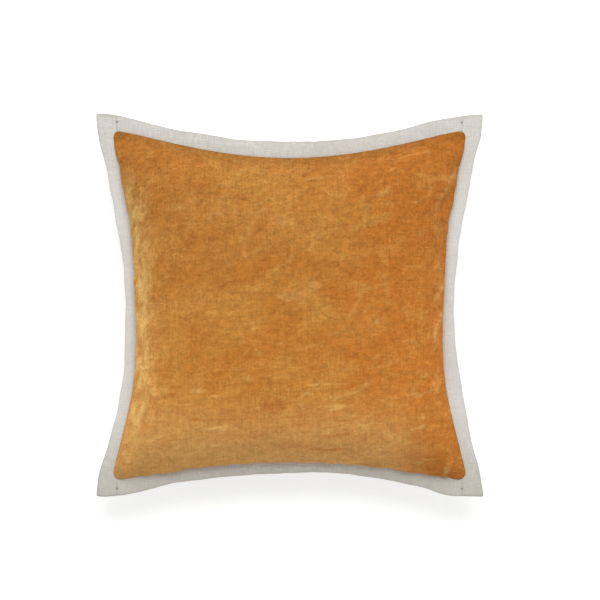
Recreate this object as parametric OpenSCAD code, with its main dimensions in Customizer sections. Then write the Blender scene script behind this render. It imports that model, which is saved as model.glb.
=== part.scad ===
// Square throw pillow: a velvet front in a flat linen frame, a linen back closed by a zip, and a
// filled cotton pad inside. It lies on its back. +X runs along the zip, +Y towards the top edge and
// +Z out of the velvet. The origin is on the floor under the middle of the cover.

/* [Cover] */
// Width of the cover across its corners
cover_w = 500; // [420:10:600]
// Height of the cover between its top and bottom corners
cover_h = 494; // [420:2:600]
// How far each side of the cover is drawn in at its middle
side_draw = 38; // [20:1:50]
// How far the top edge is drawn in at its middle
top_draw = 36; // [20:1:50]
// How far the bottom edge is drawn in at its middle
bottom_draw = 29; // [20:1:50]
// Width of the linen flange at the corners
flange_w = 21; // [16:1:30]
// Height of the flange over the floor
flange_z = 52; // [45:1:60]
// Thickness of one layer of linen
linen_t = 1.2; // [0.8:0.1:1.5]

/* [Velvet] */
// How far each side of the velvet is drawn in at its middle
velvet_side_draw = 30; // [16:1:40]
// How far the top of the velvet is drawn in
velvet_top_draw = 34; // [16:1:40]
// How far the bottom of the velvet is drawn in
velvet_bottom_draw = 23; // [16:1:40]
// Height of the velvet's crown over the flange
velvet_rise = 76; // [50:1:100]
// Thickness of the velvet
velvet_t = 1.4; // [1:0.1:2]

/* [Pad] */
// Depth that the back's curve would have if it were not flat on the floor
back_depth = 85; // [83:1:90]
// Thickness of the pad's cotton case
cotton_t = 1; // [0.6:0.1:1.4]
// Steps from the middle of a panel to its edge
steps = 12; // [10:1:14]

/* [Zip] */
// Length of the row of teeth
zip_length = 300; // [240:10:300]
// Height of the zip on the back, from the middle of the cover
zip_y = -100; // [-104:1:-90]
// Distance between teeth
tooth_pitch = 2.5; // [2:0.5:5]
// Length of the pull tab from its pivot
pull_length = 24; // [16:1:30]

/* [Stitches] */
// Distance between stitches around the velvet
frame_pitch = 7; // [5:1:12]
// Distance between stitches along the zip
zip_pitch = 5; // [4:1:10]

/* [Hidden] */
$fn = 48;
panel_half_w = cover_w / 2 - flange_w;
panel_half_h = cover_h / 2 - flange_w;

// Shape of the filled panels: how square the crown is, and how steeply it leaves the seam
crown_square = 2.4;
crown_steep = 0.55;

// Space left between layers that lie on each other
clearance = 0.2;

// Heights of the cloth layers at the flange, and how far its strips reach in under the velvet
strip_z = flange_z + 0.1;
strip_top = strip_z + linen_t;
back_strip_z = flange_z - linen_t - clearance;
tuck = 2;

// The side strips run the full height, and the top and bottom strips butt against them there
strip_joint = panel_half_w - 6.5;

// Heights of the seams of the velvet and of the pad's upper case, and of their crowns over them
velvet_z = strip_top + clearance;
velvet_crown = velvet_rise - velvet_t;
pad_z = flange_z + clearance;
pad_crown = velvet_crown - velvet_t - clearance;
fill_crown = velvet_crown - cotton_t - 4;

// How far each inner layer is set in from the edge of the velvet, and how far the layers are apart
pad_inset = 3.2;
fill_inset = pad_inset + cotton_t + 0.8;
layer_gap = 1.2;
pad_floor = linen_t + layer_gap;
fill_floor = pad_floor + cotton_t + 0.5;

// The groove in the back that the zip sits in
zip_gap = 5;
ledge_z = 5;
ledge_flat = 17.5;
ledge_end = 24;
pad_ledge_flat = 26;
pad_ledge_end = 38;
hem_top = ledge_z + 2 * linen_t;
opening_half = zip_length / 2 + 8;

// Size of a stitch, and the share of the distance between stitches that it covers
thread_w = 0.5;
thread_t = 0.4;
stitch_share = 0.6;
tack_l = 3;
tack_w = 0.8;
tack_in = 12;

// The zip's layers, from the outside of the cover to the inside
tooth_tip = 0.6;
tooth_root = 1.8;
coil_half_w = 2.8;
coil_t = 2;
tape_w = 14;
tape_t = 0.7;
tape_past_teeth = 10;
stop_l = 2.4;
tape_z = hem_top + 0.1;
coil_z = tape_z - coil_t - 0.1;
slider_l = 11;
slider_half_w = 4.2;
plate_t = 1.2;
slider_play = 0.4;
outer_plate_z = coil_z - slider_play - plate_t;
inner_plate_z = tape_z + tape_t + slider_play;
pad_over_zip = inner_plate_z + plate_t + 0.8;

// The pull's pivot, in the slider's cheeks under its outer plate
pivot_z = 2;
pin_r = 0.55;
eye_r = 1.3;
eye_gap = 0.3;
eye_half_w = 1.2;
cheek_t = 0.8;
pull_t = 1.2;
pull_w = 7;
slider_x = zip_length / 2 - slider_l / 2 - 2;

velvet_colour = [0.76, 0.49, 0.2];
linen_colour = [0.82, 0.8, 0.75];
cotton_colour = [0.93, 0.92, 0.89];
metal_colour = [0.68, 0.55, 0.32];

// ---- shape of the panels ----

// How far an edge is drawn in at t along it: 1 at its middle, 0 at the corners
function drawn(t) = pow(max(0, 1 - t * t), 1.3);

function panel_x(y, inset) = panel_half_w - inset - velvet_side_draw * drawn(y / panel_half_h);
function panel_top(u, inset) = panel_half_h - inset - velvet_top_draw * drawn(u);
function panel_bottom(u, inset) = -(panel_half_h - inset - velvet_bottom_draw * drawn(u));

function cover_x(y) = cover_w / 2 - side_draw * drawn(2 * y / cover_h);
function cover_top(u) = cover_h / 2 - top_draw * drawn(u);
function cover_bottom(u) = -(cover_h / 2 - bottom_draw * drawn(u));

// Share of the full crown at u across and v up the panel: 0 along the seam, 1 in the middle
function crown(u, v) =
  pow(max(0, (1 - pow(abs(u), crown_square)) * (1 - pow(abs(v), crown_square))), crown_steep);

function share_up(u, y, inset) = y > 0 ? y / panel_top(u, inset) : y / -panel_bottom(u, inset);

// Steps from one seam to the other, closer together towards the seams where the cloth is steep
spread = [for (k = [-steps : steps]) sin(90 * k / steps)];

// Rows of the back, counted from the zip: a few along the hem, then out to the seam
upper_rows = [
  0, 0.035, 0.065, 0.1, each [for (k = [1 : steps - 2]) 0.1 + 0.9 * sin(90 * k / (steps - 2))]
];
lower_rows = [
  0, 0.1, 0.18, 0.28, each [for (k = [1 : steps - 5]) 0.28 + 0.72 * sin(90 * k / (steps - 5))]
];
function reversed(list) = [for (k = [len(list) - 1 : -1 : 0]) list[k]];

// Half the opening between the back panels: wide along the zip, closed where they are sewn together
function opening(u, inset) = abs(u * panel_x(zip_y, inset)) < opening_half ? zip_gap : clearance;

// Height on the panel of row r over the zip, or below it
function upper_y(u, r, inset, gap) = zip_y + gap + r * (panel_top(u, inset) - zip_y - gap);
function lower_y(u, r, inset, gap) = zip_y - gap + r * (panel_bottom(u, inset) - zip_y + gap);

// Lift over the zip: full out to flat, and none past end
function lift(y, flat, end) = min(1, max(0, (end - abs(y - zip_y)) / (end - flat)));

// Layers of the back, each [height at the seam, depth of the curve, floor, lift at the zip,
// flat half of the lift, end of the lift, extra thickness of the folded hem]
cloth_outside = [back_strip_z, back_depth, -1, ledge_z + 1, ledge_flat, ledge_end, 0];
cloth_inside = [
  back_strip_z + linen_t, back_depth - linen_t, linen_t, ledge_z, ledge_flat, ledge_end, linen_t
];
pad_outside = [
  flange_z - clearance, back_depth - 2 * linen_t, pad_floor, pad_over_zip - pad_floor,
  pad_ledge_flat, pad_ledge_end, 0
];
pad_inside = [
  flange_z - clearance, back_depth - 2 * linen_t - cotton_t, pad_floor + cotton_t,
  pad_over_zip - pad_floor, pad_ledge_flat, pad_ledge_end, 0
];
fill_underside = [
  flange_z - clearance, back_depth - 2 * linen_t - cotton_t - 1, fill_floor,
  pad_over_zip - pad_floor, pad_ledge_flat, pad_ledge_end, 0
];

function layer_z(layer, u, v, y) =
  let (
    curve = layer[0] - layer[1] * crown(u, v),
    hem = abs(y - zip_y) < ledge_flat ? layer[6] : 0
  )
  max(curve, layer[2] + layer[3] * lift(y, layer[4], layer[5]) + hem);

// Points of a front layer, whose middle stands `rise` over its edge at height z
function front_sheet(inset, z, rise) = [
  for (v = spread) [
    for (u = spread)
      let (y = v > 0 ? v * panel_top(u, inset) : -v * panel_bottom(u, inset))
      [u * panel_x(y, inset), y, z + rise * crown(u, v)]
  ]
];

// Rows of y for the whole back, from the bottom seam to the top seam
function pad_y(u, inset) = [
  each reversed([for (r = lower_rows) lower_y(u, r, inset, zip_gap)]),
  each [for (r = upper_rows) upper_y(u, r, inset, zip_gap)]
];

function pad_sheet(inset, layer) = [
  for (row = [0 : len(upper_rows) + len(lower_rows) - 1]) [
    for (u = spread)
      let (y = pad_y(u, inset)[row])
      [u * panel_x(y, inset), y, layer_z(layer, u, share_up(u, y, inset), y)]
  ]
];

// Upper side of the filling, on the same rows as its underside
function fill_top(inset, z, rise) = [
  for (row = [0 : len(upper_rows) + len(lower_rows) - 1]) [
    for (u = spread)
      let (y = pad_y(u, inset)[row])
      [u * panel_x(y, inset), y, z + rise * crown(u, share_up(u, y, inset))]
  ]
];

// One row of a back panel at y, with a border point at each end on the cover's outer edge
function panel_row(rows_y, inset, layer) = [
  [-cover_x(rows_y(-1)), rows_y(-1), layer[0]],
  each [
    for (u = spread)
      let (y = rows_y(u))
      [u * panel_x(y, inset), y, layer_z(layer, u, share_up(u, y, inset), y)]
  ],
  [cover_x(rows_y(1)), rows_y(1), layer[0]]
];

// The outermost row of a back panel, along the cover's top or bottom edge
function border_row(edge, layer) = [
  [-cover_w / 2, edge(-1), layer[0]],
  each [for (u = spread) [u * cover_w / 2, edge(u), layer[0]]],
  [cover_w / 2, edge(1), layer[0]]
];

function upper_sheet(inset, layer) = [
  each [
    for (r = upper_rows)
      panel_row(function(u) upper_y(u, r, inset, opening(u, inset)), inset, layer)
  ],
  border_row(function(u) cover_top(u), layer)
];

function lower_sheet(inset, layer) = [
  border_row(function(u) cover_bottom(u), layer),
  each reversed([
    for (r = lower_rows)
      panel_row(function(u) lower_y(u, r, inset, opening(u, inset)), inset, layer)
  ])
];

// ---- solids from sheets of points ----

// Closed solid between an upper and a lower sheet with the same rows and columns. The rim's faces
// come first, so that a thin dome is still read as a solid with its outside outwards.
module between(upper, lower) {
  rows = len(upper);
  cols = len(upper[0]);
  below = rows * cols;
  top_faces = [
    for (r = [0 : rows - 2], c = [0 : cols - 2])
      let (i = r * cols + c)
      each [[i, i + cols, i + cols + 1], [i, i + cols + 1, i + 1]]
  ];
  bottom_faces = [for (f = top_faces) [f[2] + below, f[1] + below, f[0] + below]];
  rim = [
    each [for (c = [0 : cols - 1]) c],
    each [for (r = [1 : rows - 1]) r * cols + cols - 1],
    each [for (c = [cols - 2 : -1 : 0]) (rows - 1) * cols + c],
    each [for (r = [rows - 2 : -1 : 1]) r * cols]
  ];
  rim_faces = [
    for (k = [0 : len(rim) - 1])
      let (a = rim[k], b = rim[(k + 1) % len(rim)])
      each [[a + below, a, b], [a + below, b, b + below]]
  ];
  polyhedron(
    points = [each [for (row = upper) each row], each [for (row = lower) each row]],
    faces = [each rim_faces, each bottom_faces, each top_faces]
  );
}

// ---- the front ----

module velvet_front_panel() {
  color(velvet_colour)
    between(
      front_sheet(0, velvet_z, velvet_crown),
      front_sheet(velvet_t, velvet_z, velvet_crown - velvet_t)
    );
}

// Outline of the cover, counter-clockwise from its bottom left corner
function cover_outline(n) = [
  each [for (k = [0 : n - 1]) let (t = 2 * k / n - 1) [t * cover_w / 2, cover_bottom(t)]],
  each [for (k = [0 : n - 1]) let (y = (k / n - 0.5) * cover_h) [cover_x(y), y]],
  each [for (k = [0 : n - 1]) let (t = 1 - 2 * k / n) [t * cover_w / 2, cover_top(t)]],
  each [for (k = [0 : n - 1]) let (y = (0.5 - k / n) * cover_h) [-cover_x(y), y]]
];

// Outline of the velvet, set in by inset, counter-clockwise from its bottom left corner
function velvet_outline(n, inset) =
  let (w = panel_half_w - inset, h = panel_half_h - inset)
  [
    each [for (k = [0 : n - 1]) let (t = 2 * k / n - 1) [t * w, panel_bottom(t, inset)]],
    each [for (k = [0 : n - 1]) let (y = (2 * k / n - 1) * h) [panel_x(y, inset), y]],
    each [for (k = [0 : n - 1]) let (t = 1 - 2 * k / n) [t * w, panel_top(t, inset)]],
    each [for (k = [0 : n - 1]) let (y = (1 - 2 * k / n) * h) [-panel_x(y, inset), y]]
  ];

// The flat ring of linen between the cover's edge and the seam under the velvet's edge
module frame_ring() {
  difference() {
    polygon(cover_outline(2 * steps));
    polygon(velvet_outline(2 * steps, tuck));
  }
}

// The part of the frame that lies in an area of the plan, as a strip of linen
module flange_strip(area) {
  color(linen_colour)
    translate([0, 0, strip_z])
      linear_extrude(linen_t)
        intersection() {
          frame_ring();
          polygon(area);
        }
}

// Area of the top strip (side 1) or the bottom strip (side -1): between the joints, in to the middle
function cross_area(side) =
  let (end = strip_joint - clearance, inner = side * (panel_half_h - tuck - 1), outer = side * cover_h)
  [[0, 0], [end, inner], [end, outer], [-end, outer], [-end, inner]];

// Area of the right strip (side 1) or the left strip (side -1): out from the joints
function side_area(side) =
  let (end = side * strip_joint, inner = panel_half_h - tuck - 1, outer = side * cover_w)
  [
    [0, 0], [end, -inner], [end, -cover_h], [outer, -cover_h],
    [outer, cover_h], [end, cover_h], [end, inner]
  ];

module flange_strip_top() {
  flange_strip(cross_area(1));
}

module flange_strip_bottom() {
  flange_strip(cross_area(-1));
}

module flange_strip_left() {
  flange_strip(side_area(-1));
}

module flange_strip_right() {
  flange_strip(side_area(1));
}

// Stitches just outside the velvet's edge, each along the line between two points of its outline
module frame_stitching() {
  per_side = round(2 * panel_half_w / frame_pitch);
  line = velvet_outline(per_side, -1.2);
  color(linen_colour)
    for (k = [0 : len(line) - 1])
      if (k % per_side > 0 && k % per_side < per_side - 1)
        stitch(line[k], line[(k + 1) % len(line)]);
}

// One short straight stitch that lies on the flange and covers most of the way from a to b
module stitch(a, b) {
  along = b - a;
  translate([a[0], a[1], strip_top + 0.05])
    rotate(atan2(along[1], along[0]))
      translate([0.2 * norm(along), -thread_w / 2, 0])
        cube([stitch_share * norm(along), thread_w, thread_t]);
}

// Small tacks across the upright joints, one near each corner
module corner_tacks() {
  color(linen_colour)
    for (sx = [-1, 1], sy = [-1, 1])
      translate([
        sx * strip_joint - tack_l / 2, sy * (cover_h / 2 - tack_in) - tack_w / 2, strip_top + 0.05
      ])
        cube([tack_l, tack_w, thread_t]);
}

// ---- the back ----

// Keeps what stands on the floor, which leaves the back a true flat face to rest on
module over_floor() {
  intersection() {
    children();
    translate([-cover_w, -cover_h, 0])
      cube([2 * cover_w, 2 * cover_h, 2 * flange_z]);
  }
}

module back_panel_upper() {
  color(linen_colour)
    over_floor()
      between(upper_sheet(linen_t, cloth_inside), upper_sheet(0, cloth_outside));
}

module back_panel_lower() {
  color(linen_colour)
    over_floor()
      between(lower_sheet(linen_t, cloth_inside), lower_sheet(0, cloth_outside));
}

// ---- the zip ----

module zip_tape(side) {
  color(linen_colour)
    translate([
      -zip_length / 2 - tape_past_teeth, side > 0 ? zip_y + tooth_tip : zip_y - tape_w, tape_z
    ])
      cube([zip_length + 2 * tape_past_teeth, tape_w - tooth_tip, tape_t]);
}

module zip_tape_upper() {
  zip_tape(1);
}

module zip_tape_lower() {
  zip_tape(-1);
}

// A row of teeth on a cord. The two rows face each other, shifted by half a tooth.
module zip_coil(side, shift) {
  count = floor((zip_length - tooth_pitch) / tooth_pitch);
  first = -zip_length / 2 + shift;
  teeth = [
    for (k = [0 : count - 1])
      let (x = first + k * tooth_pitch)
      each [
        [x, tooth_root], [x + 0.15 * tooth_pitch, tooth_tip],
        [x + 0.45 * tooth_pitch, tooth_tip], [x + 0.6 * tooth_pitch, tooth_root]
      ]
  ];
  color(linen_colour)
    translate([0, zip_y, coil_z])
      linear_extrude(coil_t)
        scale([1, side])
          polygon([
            [-zip_length / 2, coil_half_w], [-zip_length / 2, tooth_root], each teeth,
            [zip_length / 2, tooth_root], [zip_length / 2, coil_half_w]
          ]);
}

module zip_coil_upper() {
  zip_coil(1, 0.2);
}

module zip_coil_lower() {
  zip_coil(-1, 0.2 + tooth_pitch / 2);
}

// One stop on each row of teeth at the closed end
module zip_top_stops() {
  stop_w = coil_half_w - tooth_tip;
  color(metal_colour)
    for (side = [-1, 1])
      translate([
        zip_length / 2 + 0.3, zip_y + side * (tooth_tip + coil_half_w) / 2 - stop_w / 2, coil_z
      ])
        cube([stop_l, stop_w, coil_t]);
}

// One stop across both rows of teeth at the open end
module zip_bottom_stop() {
  color(metal_colour)
    translate([-zip_length / 2 - 0.3 - stop_l, zip_y - coil_half_w, coil_z])
      cube([stop_l, 2 * coil_half_w, coil_t]);
}

// A rectangle about the origin with round corners
module round_rect(l, w, r) {
  square([l, w - 2 * r], center = true);
  square([l - 2 * r, w], center = true);
  for (sx = [-1, 1], sy = [-1, 1])
    translate([sx * (l / 2 - r), sy * (w / 2 - r)])
      circle(r);
}

// A plate of the slider, rounded at its ends
module slider_plate() {
  linear_extrude(plate_t)
    round_rect(slider_l, 2 * slider_half_w, 1.5);
}

module zip_slider() {
  color(metal_colour)
    translate([slider_x, zip_y, 0])
      union() {
        translate([0, 0, outer_plate_z])
          slider_plate();
        translate([0, 0, inner_plate_z])
          slider_plate();
        slider_rails();
        slider_post();
        slider_cheeks();
      }
}

// Rails on the outer plate that close around the teeth
module slider_rails() {
  inside = coil_half_w + slider_play;
  for (side = [-1, 1])
    translate([1 - slider_l / 2, side > 0 ? inside : -slider_half_w, outer_plate_z])
      cube([slider_l - 2, slider_half_w - inside, plate_t + slider_play + 0.8 * coil_t]);
}

// The thin post that joins the plates, and runs between the two rows of teeth
module slider_post() {
  post_w = 0.6;
  translate([1, -post_w / 2, outer_plate_z + plate_t / 2])
    cube([3.5, post_w, inner_plate_z - outer_plate_z]);
}

// Two cheeks under the outer plate, with the pin that the pull turns on
module slider_cheeks() {
  inside = eye_half_w + eye_gap;
  cheek_l = 3.2;
  for (side = [-1, 1])
    translate([-cheek_l / 2, side > 0 ? inside : -inside - cheek_t, pivot_z - pin_r])
      cube([cheek_l, cheek_t, outer_plate_z - pivot_z + pin_r + 0.2]);
  translate([0, -inside - cheek_t / 2, pivot_z])
    rotate([-90, 0, 0])
      cylinder(r = pin_r, h = 2 * inside + cheek_t);
}

// The tab lies along the closed zip and turns down and over on its eye
module zip_pull() {
  color(metal_colour)
    translate([slider_x, zip_y, pivot_z])
      difference() {
        union() {
          translate([0, -eye_half_w, 0])
            rotate([-90, 0, 0])
              cylinder(r = eye_r, h = 2 * eye_half_w);
          translate([0, 0, -pull_t / 2])
            linear_extrude(pull_t)
              pull_outline();
        }
        translate([0, -eye_half_w - 1, 0])
          rotate([-90, 0, 0])
            cylinder(r = pin_r + eye_gap, h = 2 * eye_half_w + 2);
      }
}

// A narrow neck at the eye, then a wider tab with a slot through it
module pull_outline() {
  neck = 4;
  difference() {
    union() {
      translate([-neck - 1, -eye_half_w])
        square([neck + 1, 2 * eye_half_w]);
      translate([-(pull_length + neck) / 2, 0])
        round_rect(pull_length - neck, pull_w, 2);
    }
    translate([-pull_length + 3.5, -1])
      square([8, 2]);
  }
}

// A row of stitches through hem and tape on each side of the zip
module zip_stitching() {
  per_row = floor(zip_length / zip_pitch);
  color(linen_colour)
    for (side = [-1, 1], k = [0 : per_row - 1])
      translate([
        (k - per_row / 2 + 0.2) * zip_pitch,
        zip_y + side * (zip_gap + 4) - thread_w / 2,
        ledge_z - 0.05 - thread_t
      ])
        cube([stitch_share * zip_pitch, thread_w, thread_t]);
}

// A blank folded label that lies on the inside of the upper back panel
module care_label() {
  color(cotton_colour)
    translate([90, zip_y + ledge_end + 7, linen_t + 0.3])
      cube([32, 44, 0.5]);
}

// ---- the pad ----

module insert_shell_front() {
  color(cotton_colour)
    between(
      front_sheet(pad_inset, pad_z, pad_crown),
      front_sheet(pad_inset + cotton_t, pad_z, pad_crown - cotton_t)
    );
}

module insert_shell_back() {
  color(cotton_colour)
    between(
      pad_sheet(pad_inset + cotton_t, pad_inside),
      pad_sheet(pad_inset, pad_outside)
    );
}

module insert_filling() {
  color(cotton_colour)
    between(
      fill_top(fill_inset, pad_z, fill_crown),
      pad_sheet(fill_inset, fill_underside)
    );
}

// Stitches along the pad's closed edge, at the middle of its top
module insert_closing_stitches() {
  pitch = 6;
  half_w = panel_half_w - pad_inset;
  color(cotton_colour)
    for (k = [-10 : 10])
      let (x = k * pitch)
      translate([x, panel_top(x / half_w, pad_inset) + 0.65, flange_z])
        rotate(atan2(edge_rise(x, half_w), 2))
          cube([stitch_share * pitch, thread_w, 0.6], center = true);
}

// How far the pad's top edge rises over the 2 mm around x
function edge_rise(x, half_w) =
  panel_top((x + 1) / half_w, pad_inset) - panel_top((x - 1) / half_w, pad_inset);

velvet_front_panel();
flange_strip_top();
flange_strip_bottom();
flange_strip_left();
flange_strip_right();
frame_stitching();
corner_tacks();
back_panel_upper();
back_panel_lower();
zip_tape_upper();
zip_tape_lower();
zip_coil_upper();
zip_coil_lower();
zip_top_stops();
zip_bottom_stop();
zip_slider();
zip_pull();
zip_stitching();
care_label();
insert_shell_front();
insert_shell_back();
insert_filling();
insert_closing_stitches();
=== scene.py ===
"""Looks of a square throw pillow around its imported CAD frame: velvet front, linen flange and back, a zip
and a pad.

Shapes are worked out in millimetres, as in the CAD source, and become metres when a mesh is made.
Sheets of cloth are grids of points, rows by columns by (x, y, z).
"""

import math

import bpy
import numpy as np
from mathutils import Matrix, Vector, noise


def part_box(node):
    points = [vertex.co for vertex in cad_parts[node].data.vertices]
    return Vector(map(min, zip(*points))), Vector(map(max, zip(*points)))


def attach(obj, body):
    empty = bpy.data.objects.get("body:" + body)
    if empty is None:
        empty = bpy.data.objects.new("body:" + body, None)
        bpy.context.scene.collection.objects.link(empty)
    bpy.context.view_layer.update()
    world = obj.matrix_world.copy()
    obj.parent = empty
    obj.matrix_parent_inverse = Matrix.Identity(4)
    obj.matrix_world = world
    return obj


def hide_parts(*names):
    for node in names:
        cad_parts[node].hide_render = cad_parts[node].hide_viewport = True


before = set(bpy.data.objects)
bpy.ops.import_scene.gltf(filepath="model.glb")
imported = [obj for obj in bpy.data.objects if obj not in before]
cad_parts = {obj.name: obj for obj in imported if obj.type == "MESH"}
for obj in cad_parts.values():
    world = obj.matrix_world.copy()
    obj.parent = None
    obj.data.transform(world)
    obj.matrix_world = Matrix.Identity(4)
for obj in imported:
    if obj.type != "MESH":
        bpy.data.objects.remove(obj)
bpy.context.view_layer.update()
MM = 0.001

# ---- sizes, in millimetres ----

# Each DRAW is how far the middle of an edge is drawn in from the line between its corners
COVER_W, COVER_H = 500.0, 494.0
COVER_DRAW = {"side": 38.0, "top": 36.0, "bottom": 29.0}
PANEL_W, PANEL_H = COVER_W / 2 - 21.0, COVER_H / 2 - 21.0
PANEL_DRAW = {"side": 30.0, "top": 34.0, "bottom": 23.0}
# How far the filled velvet stands out over the seam that it is sewn in, at the middle of each edge
OVERHANG = {"side": 7.4, "top": 2.0, "bottom": 6.4}
# How far the sheets reach out past the seen edge before they curve in, which keeps the edge in place
SPILL = {"side": 2.4, "top": 1.4, "bottom": 2.2}
ROLL_H = 13.0
CORNER_R = 13.0
CROWN_SQUARE, CROWN_STEEP = 2.4, 0.55

STRIP_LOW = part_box("flange_strip_top")[0].z / MM
STRIP_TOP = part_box("flange_strip_top")[1].z / MM
# Where the top and bottom strips end against the side strips
STRIP_JOINT = PANEL_W - 6.5
# Height of the back's border, which is the underside of the flange
BACK_BORDER = 50.6
VELVET_BASE = STRIP_TOP + 0.2
VELVET_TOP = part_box("velvet_front_panel")[1].z / MM
VELVET_T, LINEN_T, COTTON_T = 1.4, 1.2, 1.0
# Depth that the back's curve would have if it were not flat on the floor
BACK_DEPTH = 85.0

ZIP_Y, ZIP_GAP, ZIP_HALF = -100.0, 5.0, 150.0
ZIP_PITCH = 5.0
OPENING_HALF = 158.0
# How far the two parts of the back are pressed together where they are sewn up beyond the zip
SEAM_BITE = 0.25
# The back is lifted over the zip: by how much, and how far from the zip the lift starts to fall and ends
LEDGE_Z, LEDGE_FLAT, LEDGE_END = 5.0, 17.5, 24.0
COIL_Z = 6.4
TAPE_TOP = 8.2


# ---- plan and height of the filled cover ----

def drawn(t):
    """How far an edge is drawn in at t along it: 1 at its middle, 0 at its corners."""
    return np.maximum(0.0, 1.0 - t * t) ** 1.3


def cover_x(y):
    return COVER_W / 2 - COVER_DRAW["side"] * drawn(2 * y / COVER_H)


def cover_top(x):
    return COVER_H / 2 - COVER_DRAW["top"] * drawn(2 * x / COVER_W)


def cover_bottom(x):
    return -(COVER_H / 2 - COVER_DRAW["bottom"] * drawn(2 * x / COVER_W))


def crown(u, v):
    """Share of the full height at u across and v up a panel: 0 along the seam, 1 in the middle."""
    rest = (1 - np.abs(u) ** CROWN_SQUARE) * (1 - np.abs(v) ** CROWN_SQUARE)
    return np.maximum(0.0, rest) ** CROWN_STEEP


def swell(t, middle, half):
    """A smooth hump of height 1 at middle, which has died out at about twice half from it."""
    return np.exp(-(((t - middle) / half) ** 2))


def panel_edge(u, side):
    """How far a sheet's top or bottom edge is from the middle at u across it, with its spill."""
    return PANEL_H - (PANEL_DRAW[side] - SPILL[side]) * drawn(u)


def panel_half(y):
    return PANEL_W - (PANEL_DRAW["side"] - SPILL["side"]) * drawn(y / PANEL_H)


def round_corners(x, y, half_x, half_y):
    """Moves the points near the panel's corners so that its outline turns them with a small radius."""
    p = np.clip(1 - (half_x - np.abs(x)) / CORNER_R, 0, 1)
    q = np.clip(1 - (half_y - np.abs(y)) / CORNER_R, 0, 1)
    in_x = CORNER_R * p * (1 - np.sqrt(1 - q * q / 2))
    in_y = CORNER_R * q * (1 - np.sqrt(1 - p * p / 2))
    return x - np.sign(x) * in_x, y - np.sign(y) * in_y


def tuck_under(x, y, u, v, height):
    """Brings the lowest part of a filled sheet in from its outer edge to the seam."""
    low = np.clip(1 - height / ROLL_H, 0, 1) ** 2
    side = (OVERHANG["side"] + SPILL["side"]) * drawn(v)
    top = (OVERHANG["top"] + SPILL["top"]) * drawn(u)
    bottom = (OVERHANG["bottom"] + SPILL["bottom"]) * drawn(u)
    x = x - np.sign(u) * u * u * side * low
    y = y - np.where(v > 0, top, -bottom) * v * v * low
    return x, y


def even_steps(count, reach=1.0):
    """Values from 0 to 1 that are evenly spaced along the curved section of a panel."""
    fine = np.sin(np.linspace(0, math.pi / 2, 4000))
    across = PANEL_W * reach * fine
    height = (VELVET_TOP - VELVET_BASE) * crown(fine, 0)
    arc = np.concatenate([[0], np.cumsum(np.hypot(np.diff(across), np.diff(height)))])
    return np.interp(np.linspace(0, arc[-1], count + 1), arc, fine)


HALF_STEPS = even_steps(50)
ACROSS = np.concatenate([-HALF_STEPS[:0:-1], HALF_STEPS])


def front_sheet(rise):
    """The velvet's outside, from its left to its right seam in columns and upwards in rows."""
    u, v = np.meshgrid(ACROSS, ACROSS)
    half_y = np.where(v > 0, panel_edge(u, "top"), panel_edge(u, "bottom"))
    y = v * half_y
    half_x = panel_half(y)
    x = u * half_x
    x, y = round_corners(x, y, half_x, half_y)
    height = rise * crown(u, v)
    x, y = tuck_under(x, y, u, v, height)
    return np.stack([x, y, VELVET_BASE + height], axis=-1)


def ledge(y):
    """Lift of the back over the zip: 1 beside it and 0 away from it."""
    t = np.clip((LEDGE_END - np.abs(y - ZIP_Y)) / (LEDGE_END - LEDGE_FLAT), 0, 1)
    return t * t * (3 - 2 * t)


def over_floor(curve, floor, soft=5.0):
    """The higher of two heights, with a soft bend where they meet and flat once it lies on the floor."""
    both = (curve + floor + np.sqrt((curve - floor) ** 2 + soft * soft)) / 2
    sag = 0.3
    return np.maximum(both - sag, floor)


def back_sheet(rows, side):
    """One part of the back, from the zip's hem (the first row) out to the seam (the last row)."""
    u, r = np.meshgrid(ACROSS, rows)
    closing = 4
    near_zip = np.clip((OPENING_HALF + closing - np.abs(u * panel_half(ZIP_Y))) / closing, 0, 1)
    gap = ZIP_GAP * near_zip - SEAM_BITE * (1 - near_zip)
    edge = panel_edge(u, "top") if side > 0 else panel_edge(u, "bottom")
    start = ZIP_Y + side * gap
    y = start + r * (side * edge - start)
    v = y / np.where(y > 0, panel_edge(u, "top"), panel_edge(u, "bottom"))
    half_x = panel_half(y)
    x = u * half_x
    x, y = round_corners(x, y, half_x, np.abs(y / np.where(v == 0, 1, v)))
    deep = BACK_DEPTH * crown(u, v)
    z = over_floor(BACK_BORDER - deep, LEDGE_Z * ledge(y))
    x, y = tuck_under(x, y, u, v, deep)
    return np.stack([x, y, z], axis=-1)


# Rows of the back's two parts, as shares of the way from the zip's hem to the seam
UPPER_ROWS = np.concatenate([np.linspace(0, 0.1, 8)[:-1], 0.1 + 0.9 * even_steps(52, 1.2)])
LOWER_ROWS = np.concatenate([np.linspace(0, 0.28, 8)[:-1], 0.28 + 0.72 * even_steps(22, 0.4)])


# ---- meshes ----

def smooth_noise(points, size, seed):
    """Noise from -1 to 1 at points in millimetres, with lumps of about the given size."""
    flat = points.reshape(-1, 3) / size
    made = [noise.noise(Vector((x, y, z + seed))) for x, y, z in flat]
    return np.array(made).reshape(points.shape[:-1])


def normals(grid):
    across = np.gradient(grid, axis=1)
    along = np.gradient(grid, axis=0)
    n = np.cross(across, along)
    return n / np.maximum(np.linalg.norm(n, axis=-1, keepdims=True), 1e-9)


def edge_loop(grid):
    """The grid's points round its edge, once round and without the first one again."""
    return np.concatenate([grid[0, :-1], grid[:-1, -1], grid[-1, :0:-1], grid[:0:-1, 0]])


def grid_faces(rows, cols, start=0):
    """Faces of a grid whose points are numbered from start, row by row."""
    i = (np.arange(rows - 1)[:, None] * cols + np.arange(cols - 1)[None, :]).ravel() + start
    return np.stack([i, i + 1, i + cols + 1, i + cols], axis=-1)


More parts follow.
